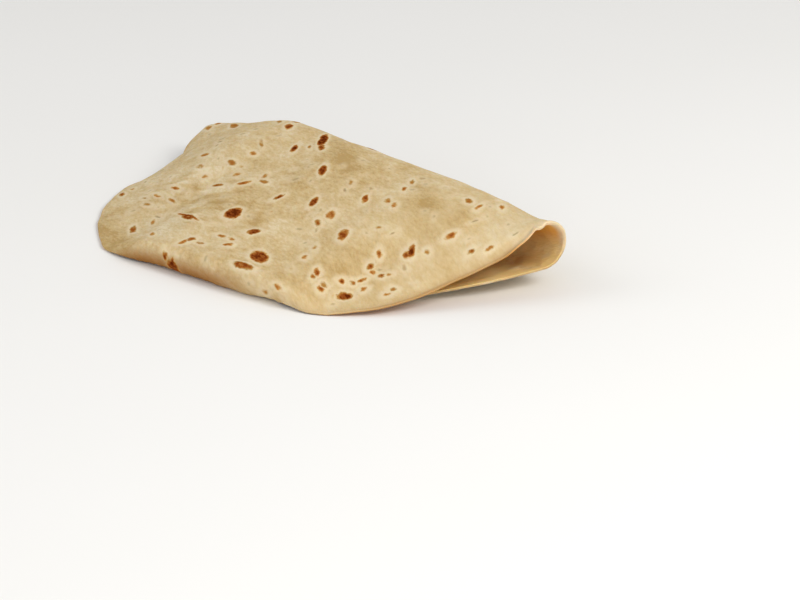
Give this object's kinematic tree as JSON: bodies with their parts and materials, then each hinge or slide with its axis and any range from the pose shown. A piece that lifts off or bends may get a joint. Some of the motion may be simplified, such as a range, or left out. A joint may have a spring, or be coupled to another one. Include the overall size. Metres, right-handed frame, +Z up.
{
  "type": "chapati flatbread",
  "caption": "Thin round chapati flatbread folded over off-centre, with a springy open fold and a softly rolled front edge.",
  "frame": {"origin": "on the ground, under the middle of the folded bread's bounding box", "axes": "+X along the fold towards its open end, +Y from the front edge towards the fold at the back, +Z up"},
  "size_m": [0.2402, 0.113, 0.0285],
  "materials": {
    "bread_crust": "dry floury wholewheat crust with scattered brown griddle spots"
  },
  "bodies": {
    "root": {"chapati": "bread_crust"}
  },
  "joints": []
}
